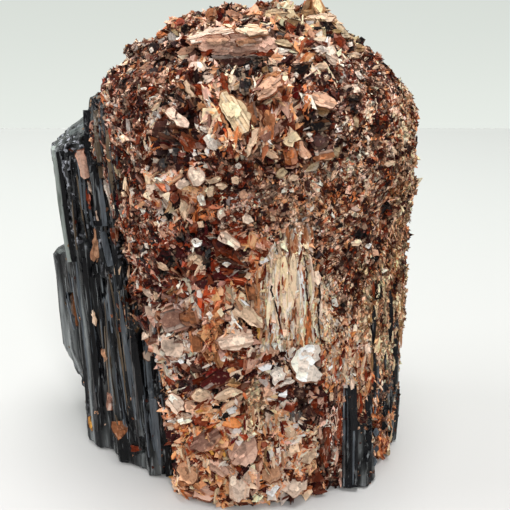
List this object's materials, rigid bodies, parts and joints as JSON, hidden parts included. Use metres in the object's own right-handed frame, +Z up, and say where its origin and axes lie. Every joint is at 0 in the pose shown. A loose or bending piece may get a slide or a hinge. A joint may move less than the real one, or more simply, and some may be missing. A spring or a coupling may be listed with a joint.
{
  "type": "black tourmaline with mica",
  "caption": "Upright mineral hand specimen: a bundle of ribbed black prismatic crystals, its front, right side and top overgrown with coarse flaky mica; stands on its flat broken base.",
  "frame": {"origin": "centre of the bounding box in plan, at the level of the flat base", "axes": "+Z up along the crystals, -Y out of the mica front, +X to its right side as seen from the front"},
  "size_m": [0.0958, 0.068, 0.1204],
  "materials": {
    "tourmaline": "glossy black crystal, ribbed along its length, pitted in places",
    "mica": "coarse flakes and books, brown-red to cream, pearly on their faces"
  },
  "bodies": {
    "root": {"tourmaline_crystals": "tourmaline", "mica_growth": "mica"}
  },
  "joints": []
}
